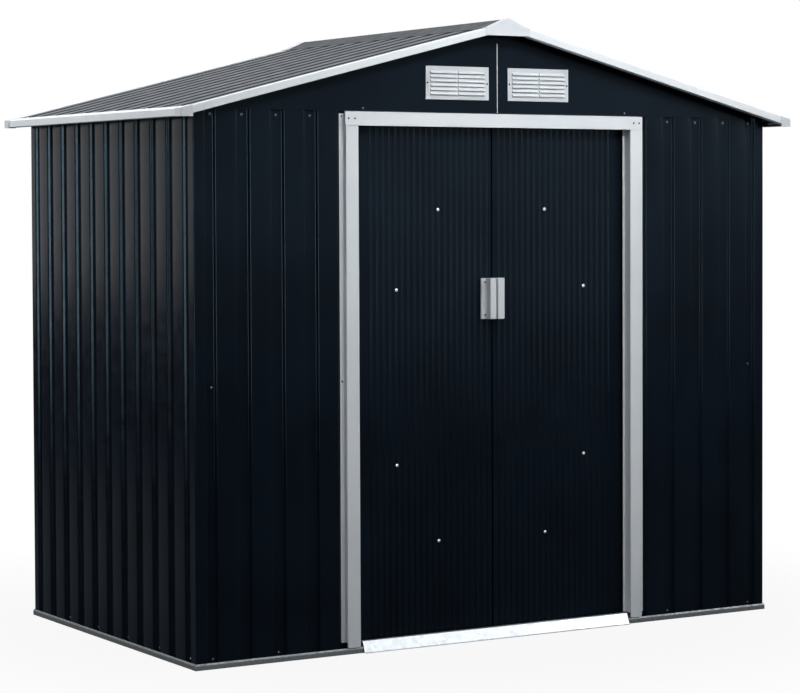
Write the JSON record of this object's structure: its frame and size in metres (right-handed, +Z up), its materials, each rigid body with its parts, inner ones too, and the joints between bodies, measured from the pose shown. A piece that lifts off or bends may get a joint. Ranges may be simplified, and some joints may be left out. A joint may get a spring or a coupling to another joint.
{
  "type": "metal tool shed",
  "caption": "Small apex-roofed garden tool shed of ribbed dark sheet steel with pale trims, louvred gable vents and a pair of fluted sliding doors.",
  "frame": {"origin": "on the ground, under the middle of the roof's plan", "axes": "+X to the right along the doorway wall, +Y from the doorway to the rear wall, +Z up"},
  "size_m": [2.13, 1.3, 1.8495],
  "materials": {
    "dark_paint": "gloss coil-coated paint",
    "white_trim": "satin coil-coated paint",
    "white_plastic": "fine satin moulded plastic",
    "galvanised_steel": "galvanised",
    "base_rail_steel": "dull grey galvanised",
    "glide_plastic": "waxy moulded plastic"
  },
  "bodies": {
    "shed": {"door_floor_track": "galvanised_steel", "door_header": "white_trim", "door_threshold": "galvanised_steel", "door_top_track": "galvanised_steel", "front_base_rail": "base_rail_steel", "front_left_corner": "dark_paint", "front_left_gable": "dark_paint", "front_left_mid_rail": "galvanised_steel", "front_left_panel": "dark_paint", "front_left_vent": "white_plastic", "front_left_verge_trim": "white_trim", "front_ridge_end": "white_plastic", "front_right_corner": "dark_paint", "front_right_gable": "dark_paint", "front_right_mid_rail": "galvanised_steel", "front_right_panel": "dark_paint", "front_right_vent": "white_plastic", "front_right_verge_trim": "white_trim", "front_top_rail": "galvanised_steel", "left_base_rail": "base_rail_steel", "left_eave_trim": "white_trim", "left_jamb": "white_trim", "left_mid_rail": "galvanised_steel", "left_roof_sheet": "dark_paint", "left_top_rail": "galvanised_steel", "left_wall": "dark_paint", "rear_base_rail": "base_rail_steel", "rear_left_corner": "dark_paint", "rear_left_gable": "dark_paint", "rear_left_vent": "white_plastic", "rear_left_verge_trim": "white_trim", "rear_mid_rail": "galvanised_steel", "rear_ridge_end": "white_plastic", "rear_right_corner": "dark_paint", "rear_right_gable": "dark_paint", "rear_right_vent": "white_plastic", "rear_right_verge_trim": "white_trim", "rear_top_rail": "galvanised_steel", "rear_wall": "dark_paint", "ridge_beam": "galvanised_steel", "ridge_cap": "dark_paint", "right_base_rail": "base_rail_steel", "right_eave_trim": "white_trim", "right_jamb": "white_trim", "right_mid_rail": "galvanised_steel", "right_roof_sheet": "dark_paint", "right_top_rail": "galvanised_steel", "right_wall": "dark_paint", "roof_corner_caps": "white_plastic"},
    "left_door": {"left_door_braces": "galvanised_steel", "left_door_channels": "galvanised_steel", "left_door_glides": "glide_plastic", "left_door_handle": "white_plastic", "left_door_sheet": "dark_paint"},
    "right_door": {"right_door_braces": "galvanised_steel", "right_door_channels": "galvanised_steel", "right_door_glides": "glide_plastic", "right_door_handle": "white_plastic", "right_door_sheet": "dark_paint"}
  },
  "joints": [
    {"name": "left_door_slide", "type": "slide", "parent": "shed", "child": "left_door", "axis": [-1, 0, 0], "range_m": [0, 0.42]},
    {"name": "right_door_slide", "type": "slide", "parent": "shed", "child": "right_door", "axis": [1, 0, 0], "range_m": [0, 0.42]}
  ]
}
